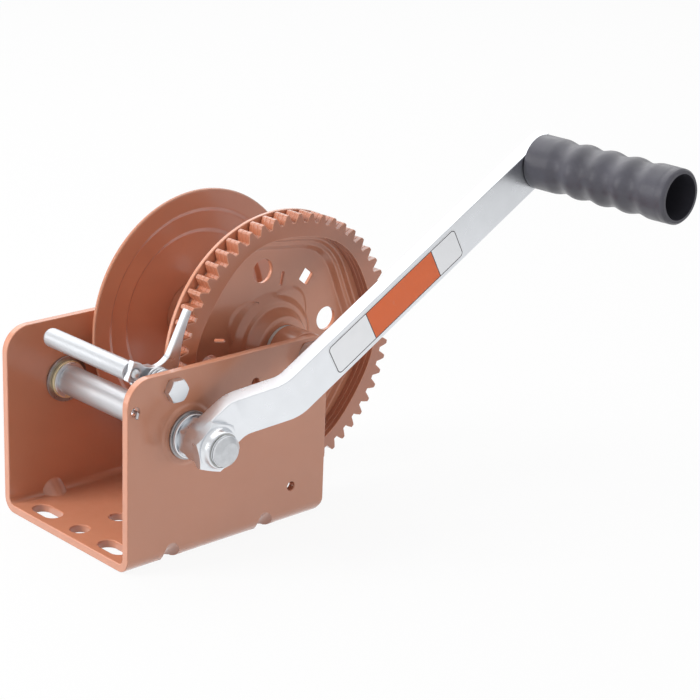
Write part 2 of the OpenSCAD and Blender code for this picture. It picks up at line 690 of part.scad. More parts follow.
module crank_arm() placed() color(zinc) at(shaft_at) rotate([0, -crank_angle, 0]) difference() {
    intersection() {
        translate([0, 0, -bar_w / 2]) linear_extrude(bar_w) polygon(concat(
            [for (p = bar_line()) p[0] + bar_t / 2 * [sin(p[1]), cos(p[1])]],
            reversed([for (p = bar_line()) p[0] - bar_t / 2 * [sin(p[1]), cos(p[1])]])
        ));
        slab(arm_out - cut, hub_near + cut) union() {
            circle(bar_w / 2);
            translate([0, -bar_w / 2]) square([crank_r + bar_end, bar_w]);
        }
    }
    intersection() {
        rod_y(thread_r + fit_gap, hub_out - cut, hub_near + cut);
        slab(hub_out - cut, hub_near + cut) square([2 * shaft_d, 2 * (flat_half + fit_gap)], center = true);
    }
    translate([crank_r, 0, 0]) rod_y(spindle_d / 2 + fit_gap, arm_out - cut, arm_far + cut);
}

module lock_nut() placed() color(zinc) at(shaft_at) difference() {
    union() {
        rotate([0, -crank_angle - nut_turn, 0]) hexagon_y(lock_nut_hex, hub_out - nut_hex_t, hub_out, 1.2);
        turned() polygon([
            [0, hub_out - 1], [nut_foot_r, hub_out - 1], [nut_foot_r, hub_out - nut_hex_t],
            [nut_collar_r + 0.4, hub_out - nut_hex_t - 1], [nut_collar_r, hub_out - lock_nut_t + 0.6],
            [nut_collar_r - 0.3, hub_out - lock_nut_t], [0, hub_out - lock_nut_t]
        ]);
    }
    rod_y(thread_r + fit_gap, hub_out - lock_nut_t - cut, hub_out + cut);
    // groove of the locking insert
    rod_y(thread_r + insert_w + fit_gap, hub_out - lock_nut_t - cut, hub_out - lock_nut_t + 2.4 + fit_gap);
}

module lock_nut_insert() placed() color(nylon) at(shaft_at)
    ring_y(thread_r + insert_w, thread_r + fit_gap, hub_out - lock_nut_t + 0.3, hub_out - lock_nut_t + 2.4);

// A shouldered pin: riveted over inside the arm, with a broad head in the grip's hollow
module grip_spindle() placed() color(zinc) at(grip_at) turned() polygon([
    [0, arm_far + 2.6], [spindle_d / 2 + 0.6, arm_far + 2.6], [spindle_d / 2 + 2, arm_far + 1.4],
    [spindle_d / 2 + 2, arm_far], [spindle_d / 2, arm_far],
    [spindle_d / 2, grip_hub_end - 0.5], [spindle_d / 2 + 3.6, grip_hub_end - 0.5],
    [spindle_d / 2 + 3.6, grip_hub_end - spindle_head_t + 1], [spindle_d / 2 + 2.6, grip_hub_end - spindle_head_t],
    [0, grip_hub_end - spindle_head_t]
]);

// The grip's outside: plain ends, with finger waves between them
wave_len = waves * wave_pitch;
wave_start = grip_start - (grip_len - wave_len) / 2;
rim_len = 5.5;
grip_outside = concat(
    [[grip_d / 2 - 1, grip_start], [grip_d / 2, grip_start - 1]],
    [for (i = [0:8 * waves]) let (d = i * wave_pitch / 8)
        [grip_d / 2 - wave_h / 2 * (1 - cos(360 * d / wave_pitch)), wave_start - d]],
    // a fine groove behind the rim, then the rounded rim
    [[grip_d / 2 - 0.2, grip_end + rim_len + 0.6], [grip_d / 2 - 0.5, grip_end + rim_len + 0.3],
     [grip_d / 2 - 0.5, grip_end + rim_len], [grip_d / 2 - 0.2, grip_end + rim_len - 0.3],
     [grip_d / 2 - 0.4, grip_end + 1.2], [grip_d / 2 - 0.8, grip_end + 0.3], [grip_d / 2 - 1.4, grip_end]]
);

module grip() placed() color(grip_grey) at(grip_at) turned() polygon(concat(
    grip_outside,
    [[grip_bore_d / 2 + 0.4, grip_end], [grip_bore_d / 2, grip_end + 0.6], [grip_bore_d / 2, grip_hub_end],
     [spindle_d / 2 + running_gap, grip_hub_end], [spindle_d / 2 + running_gap, grip_start]]
));

module pawl_bolt() placed() color(zinc) at(pawl_at) {
    hexagon_y(pawl_hex, -wall_out - 4.2, -wall_out, 0.7);
    rod_y(pawl_bolt_d / 2, -wall_out - cut, pawl_far + seat_gap + 6);
}

module pawl_spacer() placed() color(zinc) at(pawl_at)
    ring_y(pawl_bolt_d / 2 + 1.8, pawl_bolt_d / 2 + fit_gap, -wall_in, pawl_near - seat_gap);

module pawl_nut() placed() color(zinc) at(pawl_at) difference() {
    hexagon_y(pawl_hex, pawl_far + seat_gap, pawl_far + seat_gap + 5, 0.7);
    rod_y(pawl_bolt_d / 2 + fit_gap, pawl_far, pawl_far + 8);
}

// The pawl's finger lies along the tooth tips and ends in a blunt tip with two small rounded corners
finger_r = gear_tip_r + pawl_clear;
tip_inner_at = drum_at + polar(finger_r + finger_corner_r, finger_angle);
tip_outer_at = drum_at + polar(finger_r + finger_tip_w - finger_corner_r, finger_angle);
pawl_outline = concat(
    [pawl_at + [-12.1, 12.2], pawl_at + [-15.8, 3.1], pawl_at + [-15.5, arm_under + 0.4],
     pawl_at + [-14.8, arm_under]],
    arc(pawl_at, pawl_body_r, 170, 322, 12),
    arc(drum_at, finger_r, finger_root_angle, finger_angle + 0.5, 10),
    arc(tip_inner_at, finger_corner_r, finger_angle - 180, finger_angle - 90, 3),
    arc(tip_outer_at, finger_corner_r, finger_angle - 90, finger_angle, 3),
    arc(valley_at, valley_r, -38, -137, 10)
);

module pawl_plate() placed() color(zinc) slab(pawl_near, pawl_far) difference() {
    polygon(pawl_outline);
    translate(pawl_at) circle(pawl_bolt_d / 2 + running_gap);
    translate(rod_at) circle(tenon_r + fit_gap);
}

// The thumb rod: domed at its free end, with a peened tenon in the pawl plate
rod_end = wall_in - rod_end_gap;
rod_dome_r = 3;
module pawl_rod() placed() color(zinc) at(rod_at) turned() polygon(concat(
    [[0, pawl_near - tenon_head], [1.1, pawl_near - tenon_head + 0.15], [1.8, pawl_near - tenon_head + 0.7],
     [2.1, pawl_near - 1], [tenon_r, pawl_near - 0.1], [tenon_r, pawl_far], [rod_d / 2, pawl_far],
     [rod_d / 2, rod_end - rod_dome_r]],
    arc([rod_d / 2 - rod_dome_r, rod_end - rod_dome_r], rod_dome_r, 0, 60, 4),
    [[0, rod_end]]
));

// The spring's wire: under the pawl's front arm, round the spacer and out through the near wall.
// Points are [x, y, z] from the front edge.
wire_r = wire_d / 2;
spring_r = spring_d / 2;
spring_near = -wall_in + wire_r + 0.5;
spring_far = pawl_near - wire_r - 0.6;
leg_foot = pawl_at + [-12.5, arm_under - seat_gap - wire_r];
function tangent_angle(to, r) = let (d = to - pawl_at) atan2(d[1], d[0]) + acos(r / norm(d));
coil_from = tangent_angle(leg_foot, spring_r);
coil_to = tangent_angle(spring_hole_at, spring_r);
coil_sweep = 360 * floor(spring_turns) + ((coil_to - coil_from) % 360 + 360) % 360;
coil_steps = round(coil_sweep / 45);
function in_space(p, y) = [p[0], y, p[1]];
function bent(p, y, towards, turn) = [
    in_space(p + wire_d * towards, y),
    in_space(p + 0.3 * wire_d * towards, y + 0.3 * wire_d * turn),
    in_space(p, y + wire_d * turn)
];
spring_path = concat(
    [in_space(leg_foot, pawl_near + pawl_t / 2)],
    reversed(bent(leg_foot, spring_far, unit(pawl_at + polar(spring_r, coil_from) - leg_foot), 1)),
    [for (i = [0:coil_steps]) let (k = i / coil_steps)
        in_space(pawl_at + polar(spring_r, coil_from + coil_sweep * k), spring_far + (spring_near - spring_far) * k)],
    bent(spring_hole_at, spring_near, unit(pawl_at + polar(spring_r, coil_to) - spring_hole_at), -1),
    [in_space(spring_hole_at, -wall_out - 0.4), in_space(spring_hole_at + [-0.3, -0.4], -wall_out - 1.6),
     in_space(spring_hole_at + [-1.6, -2.4], -wall_out - 2.6)]
);
function tangent(path, i) = unit(
    (i < len(path) - 1 ? unit(path[i + 1] - path[i]) : [0, 0, 0]) + (i > 0 ? unit(path[i] - path[i - 1]) : [0, 0, 0]));
function carried(u, t) = unit(u - (u * t) * t);

// A tube along a path: each ring's first corner is carried on from the ring before it
module wire(path, r, sides) {
    last = len(path) - 1;
    across = [for (i = 0, u = carried([0.3, 0.2, 1], tangent(path, 0)); i <= last;
        i = i + 1, u = i <= last ? carried(u, tangent(path, i)) : u) u];
    rings = [for (i = [0:last], k = [0:sides - 1]) let (a = 360 * k / sides, t = tangent(path, i))
        path[i] + r * (cos(a) * across[i] + sin(a) * cross(t, across[i]))];
    side_faces = [for (i = [0:last - 1], k = [0:sides - 1])
        let (a = i * sides + k, b = i * sides + (k + 1) % sides) each [[a, a + sides, b], [b, a + sides, b + sides]]];
    caps = [for (k = [1:sides - 2]) each [[0, k, k + 1], [last * sides, last * sides + k + 1, last * sides + k]]];
    polyhedron(points = rings, faces = [for (f = concat(side_faces, caps)) f], convexity = 6);
}

// Least gap of the wire to itself, between points more than half a turn apart
spring_self_gap = min([for (i = [0:len(spring_path) - 1], j = [i + 5:1:len(spring_path) - 1])
    norm(spring_path[i] - spring_path[j])]) - wire_d;
echo(spring_self_gap = spring_self_gap);

module pawl_spring() placed() color(zinc) wire(spring_path, wire_r, 6);

frame();
shaft_bush_near();
shaft_bush_far();
axle_sleeve();
axle_bolt();
axle_washer();
axle_nut();
axle_spacer_near();
axle_spacer_far();
pawl_bolt();
pawl_spacer();
pawl_nut();
drum_core();
drum_flange_gear_side();
drum_flange_far();
drum_bush_near();
drum_bush_far();
gear_plate_outer();
gear_plate_middle();
gear_plate_inner();
drive_shaft();
pinion();
shaft_spacer();
thrust_washer_near();
thrust_washer_far();
shaft_ring();
hex_spacer();
crank_arm();
lock_nut();
lock_nut_insert();
grip_spindle();
grip();
pawl_plate();
pawl_rod();
pawl_spring();
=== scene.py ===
"""Dresses the trailer winch: painted sheet, zinc plate, moulded grip, spring, label and studio."""

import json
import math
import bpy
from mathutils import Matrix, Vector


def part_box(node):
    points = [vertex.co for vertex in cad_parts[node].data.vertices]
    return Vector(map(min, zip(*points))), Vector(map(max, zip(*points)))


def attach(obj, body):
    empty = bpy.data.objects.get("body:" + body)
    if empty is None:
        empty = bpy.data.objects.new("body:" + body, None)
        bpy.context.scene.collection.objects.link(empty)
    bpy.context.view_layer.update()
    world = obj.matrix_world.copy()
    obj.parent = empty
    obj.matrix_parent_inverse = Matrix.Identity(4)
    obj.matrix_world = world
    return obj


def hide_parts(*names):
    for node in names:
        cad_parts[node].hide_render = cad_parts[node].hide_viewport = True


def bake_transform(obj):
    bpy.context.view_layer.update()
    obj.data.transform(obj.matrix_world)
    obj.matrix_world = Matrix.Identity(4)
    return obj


bl_info = {
    "name": "Trailer winch",
    "version": (1, 0, 0),
    "blender": (4, 5, 0),
    "location": "3D View > Sidebar > Winch",
    "description": "Finishes for the winch's steel, the grip, the pawl spring, threads and a studio",
    "category": "Object",
}

import bmesh
import bpy
from mathutils import Matrix, Vector

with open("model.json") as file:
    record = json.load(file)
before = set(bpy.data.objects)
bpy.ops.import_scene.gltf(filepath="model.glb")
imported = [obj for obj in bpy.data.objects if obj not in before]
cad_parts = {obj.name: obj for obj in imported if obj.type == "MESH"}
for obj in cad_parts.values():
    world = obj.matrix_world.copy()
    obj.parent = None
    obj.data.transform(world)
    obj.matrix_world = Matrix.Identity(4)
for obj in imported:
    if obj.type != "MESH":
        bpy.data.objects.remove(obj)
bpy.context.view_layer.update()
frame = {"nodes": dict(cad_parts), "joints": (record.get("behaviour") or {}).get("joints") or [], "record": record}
NODES = frame["nodes"]
BODY_OF = {node: body for body, nodes in frame["record"]["behaviour"]["bodies"].items() for node in nodes}
FRAME_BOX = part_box("frame")
JOINT_AT = {joint["name"]: Vector(joint["pos_m"]) for joint in frame["joints"]}
MM = 0.001
MERGE = 2e-6
CREASE = math.radians(50)


class Socket:
    """An output of a node, which takes part in sums as a number does"""

    def __init__(self, tree, out):
        self.tree, self.out = tree, out

    def holding(self, value):
        self.out.default_value = value
        return self

    def sibling(self, key):
        """Another output of the same node, by its number or name"""
        return Socket(self.tree, self.out.node.outputs[key])

    def math(self, operation, *others):
        return self.tree.add("ShaderNodeMath", {"operation": operation}, dict(enumerate((self, *others))))

    def __add__(self, other):
        return self.math("ADD", other)

    def __sub__(self, other):
        return self.math("SUBTRACT", other)

    def __mul__(self, other):
        return self.math("MULTIPLY", other)

    def __truediv__(self, other):
        return self.math("DIVIDE", other)

    def __rsub__(self, other):
        return self.tree.number(other) - self

    __radd__ = __add__
    __rmul__ = __mul__

    def between(self, low, high):
        """1 where this value lies between low and high, else 0"""
        return self.math("GREATER_THAN", low) * self.math("LESS_THAN", high)


class Tree:
    """A node tree with one method that makes any node"""

    def __init__(self, tree):
        self.tree = tree

    def add(self, kind, settings=None, values=None, output=0):
        made = self.tree.nodes.new(kind)
        for name, value in (settings or {}).items():
            if name == "stops":
                ramp = made.color_ramp
                while len(ramp.elements) < len(value):
                    ramp.elements.new(1.0)
                for element, (position, colour) in zip(ramp.elements, value):
                    element.position, element.color = position, (*colour, 1.0)
            else:
                setattr(made, name, value)
        for name, value in (values or {}).items():
            self.feed(made.inputs[name], value)
        return Socket(self, made.outputs[output])

    def feed(self, socket, value):
        if isinstance(value, Socket):
            self.tree.links.new(value.out, socket)
        elif socket.type == "RGBA" and len(value) == 3:
            socket.default_value = (*value, 1.0)
        else:
            socket.default_value = value

    def number(self, value):
        return self.add("ShaderNodeValue").holding(value)


class Finish(Tree):
    """The node tree of one material, with a Principled shader"""

    def __init__(self, name, **constants):
        self.material = bpy.data.materials.new(name)
        self.material.use_nodes = True
        super().__init__(self.material.node_tree)
        self.shader = self.tree.nodes["Principled BSDF"]
        for socket, value in constants.items():
            self.feed(self.shader.inputs[socket.replace("_", " ")], value)
        self.place = self.add("ShaderNodeTexCoord", output="Object")

    def noise(self, scale, detail=2.0, roughness=0.5, place=None):
        values = {"Vector": place or self.place, "Scale": scale, "Detail": detail, "Roughness": roughness}
        return self.add("ShaderNodeTexNoise", values=values)

    def stretched(self, scale):
        return self.add("ShaderNodeMapping", values={"Vector": self.place, "Scale": scale})

    def spread(self, value, low, high, to_low=0.0, to_high=1.0):
        names = ("Value", "From Min", "From Max", "To Min", "To Max")
        return self.add("ShaderNodeMapRange", values=dict(zip(names, (value, low, high, to_low, to_high))))

    def cloud(self, scale, low=0.3, high=0.7):
        """Soft patches between 0 and 1"""
        return self.spread(self.noise(scale, 3.0), low, high)

    def blend(self, factor, first, second):
        return self.add("ShaderNodeMix", {"data_type": "RGBA"}, {0: factor, 6: first, 7: second}, output=2)

    def roughen(self, scale, low, high):
        """Lets the roughness wander between two values"""
        self.set("Roughness", self.spread(self.noise(scale), 0.3, 0.7, low, high))

    def bump(self, height, depth):
        values = {"Height": height, "Distance": depth, "Strength": 1.0}
        self.set("Normal", self.add("ShaderNodeBump", values=values))

    def set(self, socket, value):
        self.feed(self.shader.inputs[socket], value)


def colour_property(name, text, default):
    return bpy.props.FloatVectorProperty(
        name=name, description=text, default=default, size=3, subtype="COLOR", min=0.0, max=1.0
    )


def length_property(name, text, default):
    return bpy.props.FloatProperty(
        name=name, description=text, default=default, unit="LENGTH", min=0.0, precision=5)


class WinchColours(bpy.types.PropertyGroup):
    paint: colour_property("Paint", "Colour of the painted sheet", (0.48, 0.174, 0.093))
    paint_shade: colour_property("Paint shade", "Darker tone where the paint lies thick", (0.44, 0.154, 0.081))
    zinc: colour_property("Zinc", "Colour of the bright zinc plate", (0.74, 0.76, 0.79))
    yellow_zinc: colour_property("Yellow zinc", "Colour of the passivated washer", (0.62, 0.52, 0.30))
    bush: colour_property("Bush", "Colour of the shaft's steel bushes", (0.40, 0.38, 0.38))
    nylon: colour_property("Nylon", "Colour of the drum's bushes and the nut's insert", (0.62, 0.62, 0.60))
    grip: colour_property("Grip", "Colour of the moulded grip", (0.052, 0.051, 0.064))
    label_white: colour_property("Label white", "Colour of the label's ends", (0.80, 0.81, 0.83))
    label_orange: colour_property("Label orange", "Colour of the label's middle field", (0.88, 0.17, 0.045))
    label_line: colour_property("Label line", "Colour of the label's border", (0.045, 0.045, 0.055))


class WinchEdges(bpy.types.PropertyGroup):
    sheet: length_property("Sheet edges", "Rounding of the painted sheet's edges", 0.0006)
    teeth: length_property("Teeth", "Rounding of the toothed plates' edges", 0.0004)
    bar: length_property("Bar edges", "Rounding of the crank and the pawl", 0.0006)
    small: length_property("Small parts", "Rounding of nuts, rings and spacers", 0.0002)
    sharp_angle: bpy.props.FloatProperty(
        name="Sharp angle", description="Edges that fold more than this are rounded",
        default=math.radians(28), subtype="ANGLE",
    )


class WinchGrip(bpy.types.PropertyGroup):
    diameter: length_property("Diameter", "Outside diameter at the crests", 0.0296)
    bore: length_property("Bore", "Diameter of the hollow end", 0.024)
    hollow: length_property("Hollow", "Depth of the hollow end", 0.058)
    wave_height: length_property("Wave height", "Depth of the valleys between the crests", 0.0014)
    wave_pitch: length_property("Wave pitch", "Length of one wave", 0.0165)
    waves: bpy.props.IntProperty(name="Waves", description="Number of finger waves", default=4, min=1)
    rim_line: length_property("Rim line", "Depth of the fine line before the rim", 0.0004)


class WinchThreads(bpy.types.PropertyGroup):
    shaft_pitch: length_property("Shaft pitch", "Pitch of the thread on the crank's end of the shaft", 0.0014)
    axle_pitch: length_property("Axle pitch", "Pitch of the thread on the drum axle", 0.00195)
    pawl_pitch: length_property("Pawl pitch", "Pitch of the thread on the pawl's bolt", 0.00127)


class WinchLabel(bpy.types.PropertyGroup):
    start: length_property("Start", "Distance from the shaft to the label", 0.0715)
    end: length_property("End", "Distance from the shaft to the label's far end", 0.1714)
    half_width: length_property("Half width", "Half of the label's width", 0.0091)
    field_start: length_property("Field start", "Distance from the shaft to the orange field", 0.1007)
    field_end: length_property("Field end", "Distance from the shaft to the end of the orange field", 0.1522)
    corner: length_property("Corner", "Radius of the label's corners", 0.003)


class WinchStudio(bpy.types.PropertyGroup):
    azimuth: bpy.props.FloatProperty(
        name="Azimuth", description="Direction of view", default=math.radians(-43.805), subtype="ANGLE")
    elevation: bpy.props.FloatProperty(
        name="Elevation", description="Height of view", default=math.radians(18.767), subtype="ANGLE")
    roll: bpy.props.FloatProperty(
        name="Roll", description="Turn of the camera about its view",
        default=math.radians(2.251), subtype="ANGLE")
    camera: bpy.props.FloatVectorProperty(
        name="Camera", description="Place of the camera",
        default=(-0.5996, -0.7688, 0.4256), subtype="XYZ_LENGTH")
    lens: bpy.props.FloatProperty(name="Lens", description="Focal length in millimetres", default=101.25)
    key: bpy.props.FloatProperty(name="Key", description="Power of the overhead lamp in watts", default=22.0)
    side: bpy.props.FloatProperty(name="Side", description="Power of the left lamp in watts", default=4.0)
    opening: bpy.props.FloatProperty(
        name="Opening", description="Power in watts of the lamp that looks into the frame", default=20.0)
    fill: bpy.props.FloatProperty(name="Fill", description="Power of the front lamp in watts", default=4.5)
    ambient: bpy.props.FloatProperty(name="Ambient", description="Strength of the room's light", default=0.42)


GROUPS = {
    "winch_colours": WinchColours,
    "winch_edges": WinchEdges,
    "winch_grip": WinchGrip,
    "winch_threads": WinchThreads,
    "winch_label": WinchLabel,
    "winch_studio": WinchStudio,
}


def settings(name):
    return getattr(bpy.context.scene, "winch_" + name)


def finish_once(name, maker):
    """The material of that name, made the first time that it is asked for"""
    return bpy.data.materials.get(name) or maker(name)


def paint(name="terracotta_paint"):
    colours = settings("colours")
    f = Finish(name, Roughness=0.40, Coat_Weight=1.0, Coat_Roughness=0.16)
    # the rounded edges are lightened towards this colour: a painted highlight where light catches the eased paint
    # edges
    wear_and_edge_highlight = (0.78, 0.36, 0.22)
    edge = f.add("ShaderNodeAttribute", {"attribute_name": "rounded"}, output="Fac")
    tone = f.blend(f.cloud(28.0, 0.35, 0.65), tuple(colours.paint), tuple(colours.paint_shade))
    f.set("Base Color", f.blend(edge * 0.4, tone, wear_and_edge_highlight))
    f.roughen(160.0, 0.36, 0.48)
    orange_peel = f.noise(520.0) * 0.7 + f.noise(95.0, 1.0) * 0.6
    f.bump(orange_peel, 0.00006)
    return f.material


def zinc(name="bright_zinc"):
    f = Finish(name, Metallic=1.0, Roughness=0.3)
    base = tuple(settings("colours").zinc)
    dull = tuple(c * 0.94 for c in base)
    f.set("Base Color", f.blend(f.cloud(60.0), base, dull))
    f.roughen(180.0, 0.27, 0.34)
    f.bump(f.noise(600.0), 0.000012)
    return f.material


def drawn_zinc(name="drawn_zinc"):
    """Zinc on cold-drawn round bar, streaked along its length"""
    f = Finish(name, Metallic=0.8, Roughness=0.3)
    streak = f.noise(1.0, 3.0, 0.6, place=f.stretched((420.0, 26.0, 420.0)))
    base = tuple(c * 0.8 for c in settings("colours").zinc)
    dull = tuple(c * 0.9 for c in base)
    f.set("Base Color", f.blend(f.spread(streak, 0.35, 0.7), base, dull))
    f.set("Roughness", f.spread(streak, 0.3, 0.7, 0.36, 0.46))
    f.bump(streak + f.noise(500.0) * 0.3, 0.000015)
    return f.material


def yellow_zinc(name="yellow_zinc"):
    f = Finish(name, Metallic=1.0, Roughness=0.32)
    pale = (0.66, 0.60, 0.46)
    f.set("Base Color", f.blend(f.cloud(260.0), tuple(settings("colours").yellow_zinc), pale))
    f.roughen(400.0, 0.24, 0.4)
    f.bump(f.noise(600.0), 0.00003)
    return f.material


def spring_wire(name="spring_wire"):
    f = Finish(name, Metallic=1.0, Roughness=0.3)
    bright, dull = (0.62, 0.62, 0.64), (0.42, 0.42, 0.44)
    f.set("Base Color", f.blend(f.cloud(500.0), bright, dull))
    f.roughen(800.0, 0.25, 0.4)
    f.bump(f.noise(1500.0), 0.00002)
    return f.material


def moulded(name, base, rough_low, rough_high, grain=900.0):
    f = Finish(name, Roughness=rough_low)
    pale = tuple(min(1.0, c * 1.35) for c in base)
    f.set("Base Color", f.blend(f.cloud(60.0), tuple(base), pale))
    f.roughen(220.0, rough_low, rough_high)
    f.bump(f.noise(grain), 0.00004)
    return f.material


def bush(name="grey_bush"):
    """Plain turned steel"""
    f = Finish(name, Metallic=1.0, Roughness=0.3)
    base = tuple(settings("colours").bush)
    dull = tuple(c * 0.8 for c in base)
    f.set("Base Color", f.blend(f.cloud(300.0), base, dull))
    f.roughen(500.0, 0.26, 0.38)
    f.bump(f.noise(900.0), 0.00002)
    return f.material


def nylon(name="moulded_nylon"):
    return moulded(name, settings("colours").nylon, 0.38, 0.5)


def grip_plastic(name="grip_plastic"):
    return moulded(name, settings("colours").grip, 0.3, 0.42, grain=1400.0)


def label_print(name="label_print"):
    """White, orange and a dark line, placed by the label's own UV map in millimetres"""
    colours, label = settings("colours"), settings("label")
    f = Finish(name, Roughness=0.34)
    uv = f.add("ShaderNodeUVMap", {"uv_map": "label_mm"})
    along = f.add("ShaderNodeSeparateXYZ", values={"Vector": uv})
    across = along.sibling(1)
    border, line = 0.45, 0.5
    start, end, half = (v / MM for v in (label.start, label.end, label.half_width))
    reach_x = (along - (start + end) / 2).math("ABSOLUTE")
    reach_y = across.math("ABSOLUTE")
    corner = label.corner / MM
    half_x, half_y = (end - start) / 2 - corner, half - corner
    over_x = (reach_x - half_x).math("MAXIMUM", 0.0)
    over_y = (reach_y - half_y).math("MAXIMUM", 0.0)
    inset = corner - (over_x * over_x + over_y * over_y).math("SQRT")
    inside = inset.math("GREATER_THAN", border + line)
    rule = inset.between(border, border + line)
    field = along.between(label.field_start / MM, label.field_end / MM) * inside
    for edge in (label.field_start / MM, label.field_end / MM):
        rule = rule.math("MAXIMUM", along.between(edge - line / 2, edge + line / 2) * inside)
    tone = f.blend(field, tuple(colours.label_white), tuple(colours.label_orange))
    scuff = f.spread(f.noise(130.0, 4.0, 0.65), 0.62, 0.75)
    wear_and_edge_highlight = (0.62, 0.6, 0.58)
    tone = f.blend(scuff * 0.12, tone, wear_and_edge_highlight)
    f.set("Base Color", f.blend(rule, tone, tuple(colours.label_line)))
    f.set("Metallic", (1.0 - field) * (1.0 - rule) * 0.7)
    f.roughen(300.0, 0.28, 0.42)
    f.bump(f.noise(350.0), 0.00001)
    return f.material


def in_bend(point):
    """Whether a point lies along the frame's bends, where the darts' thin lips stay sharp"""
    low, high = FRAME_BOX
    reach, end = 9 * MM, 2 * MM
    beside = min(point.y - low.y, high.y - point.y) < reach
    return beside and point.z < low.z + reach and low.x + end < point.x < high.x - end


def crease(bm, angle=CREASE):
    """Smooth faces, with the edges that fold more than an angle kept sharp"""
    for face in bm.faces:
        face.smooth = True
    for e in bm.edges:
        e.smooth = not e.is_manifold or e.calc_face_angle(0.0) < angle


def ease_edges(mesh, width, segments=2):
    """Merges a mesh, drops its needless edges, rounds its sharp ones and marks the new faces"""
    edges = settings("edges")
    bm = bmesh.new()
    bm.from_mesh(mesh)
    bmesh.ops.remove_doubles(bm, verts=bm.verts, dist=MERGE)
    bmesh.ops.dissolve_limit(bm, angle_limit=math.radians(0.4), verts=bm.verts, edges=bm.edges)
    sharp = [
        e for e in bm.edges if e.is_manifold and e.calc_face_angle(0.0) > edges.sharp_angle
        and not in_bend((e.verts[0].co + e.verts[1].co) / 2)
    ]
    before = set(bm.faces)
    if width > 0.0:
        bmesh.ops.bevel(
            bm, geom=sharp, offset=width, offset_type="OFFSET", segments=segments, profile=0.5,
            affect="EDGES", clamp_overlap=False, miter_outer="ARC", loop_slide=True,
        )
    marks = bm.faces.layers.float.new("rounded")
    for face in bm.faces:
        face[marks] = 0.0 if face in before else 1.0
    crease(bm)
    bm.to_mesh(mesh)
    bm.free()
    return mesh


def cap_loops(mesh):
    """The closed outlines of a plate's face of least Y, as lists of points (x, z)"""
    bm = bmesh.new()
    bm.from_mesh(mesh)
    bmesh.ops.remove_doubles(bm, verts=bm.verts, dist=MERGE)
    low = min(v.co.y for v in bm.verts)
    cap = {f for f in bm.faces if all(v.co.y < low + 1e-6 for v in f.verts)}
    # walked in the mesh's own order, so that each run gives the same loops
    rim = [e for e in bm.edges if sum(f in cap for f in e.link_faces) == 1]
    left, loops = set(rim), []
    for edge in rim:
        if edge not in left:
            continue
        left.discard(edge)
        start, here = edge.verts
        loop = [start, here]
        while here != start:
            edge = next(e for e in here.link_edges if e in left)
            left.discard(edge)
            here = edge.other_vert(here)
            loop.append(here)
        loops.append([(v.co.x, v.co.z) for v in loop[:-1]])
    bm.free()
    return loops


def inset_loop(loop, width, inward):
    """A loop moved sideways by a width, into the plate"""
    count, moved = len(loop), []
    for i in range(count):
        before, here, after = (Vector(loop[k % count]) for k in (i - 1, i, i + 1))
        sides = [Vector((-d.y, d.x)).normalized() * inward for d in (here - before, after - here)]
        middle = sides[0] + sides[1]
        moved.append(here + middle * (width / max(0.35, 1.0 + sides[0].dot(sides[1]))))
    return moved


def eased_plate(mesh, width, segments=2):
    """Rebuilds a flat plate from its outlines, with both faces' edges rounded by rule"""
    loops = cap_loops(mesh)
    low, high = (pick(v.co.y for v in mesh.vertices) for pick in (min, max))
    areas = [sum(a[0] * b[1] - b[0] * a[1] for a, b in zip(p, p[1:] + p[:1])) for p in loops]
    outer = max(areas, key=abs)
    bm = bmesh.new()
    marks = bm.faces.layers.float.new("rounded")
    caps = ([], [])
    for loop, area in zip(loops, areas):
        inward = math.copysign(1.0, area) * (1.0 if area == outer else -1.0)
        levels = []
        for k in range(segments + 1):
            turn = math.pi / 2 * k / segments
            levels.append((width * (1 - math.sin(turn)), width * (1 - math.cos(turn))))
        rings = []
        for base, way in ((low, 1), (high, -1)):
            for inset, lift in (levels if way == 1 else reversed(levels)):
                points = inset_loop(loop, inset, inward)
                rings.append([bm.verts.new((p.x, base + way * lift, p.y)) for p in points])
        count = len(loop)
        for level, (lower, upper) in enumerate(zip(rings, rings[1:])):
            for i in range(count):
                j = (i + 1) % count
                face = bm.faces.new((lower[i], lower[j], upper[j], upper[i]))
                face[marks] = 0.0 if level == segments else 1.0
        for cap, ring in zip(caps, (rings[0], rings[-1])):
            cap += [bm.edges.get((ring[i], ring[(i + 1) % count])) for i in range(count)]
    for cap in caps:
        bmesh.ops.triangle_fill(bm, use_beauty=True, edges=cap)
    bmesh.ops.recalc_face_normals(bm, faces=bm.faces)
    crease(bm)
    bm.to_mesh(mesh)
    bm.free()
    return mesh


def plain_mesh(piece):
    """Replaces a piece's modifiers by their result"""
    bpy.context.view_layer.update()
    graph = bpy.context.evaluated_depsgraph_get()
    made = bpy.data.meshes.new_from_object(piece.evaluated_get(graph), depsgraph=graph)
    made.name = piece.name
    piece.modifiers.clear()
    piece.data = made
    return piece


def new_piece(name, mesh):
    piece = bpy.data.objects.new(name, mesh)
    bpy.context.scene.collection.objects.link(piece)
    return piece


def weighted(piece):
    """Keeps flat faces flat beside their rounded edges"""
    modifier = piece.modifiers.new("weighted", "WEIGHTED_NORMAL")
    modifier.keep_sharp = True
    modifier.weight = 60
    return plain_mesh(piece)


def dressed(node, finish, width, segments=2, *, prefix, ease=ease_edges):
    """Makes a copy of a CAD node with eased edges that stands for it"""
    mesh = NODES[node].data.copy()
    mesh.materials.clear()
    mesh.materials.append(finish)
    piece = weighted(new_piece(prefix + node, ease(mesh, width, segments)))
    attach(piece, BODY_OF[node])
    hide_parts(node)
    return piece


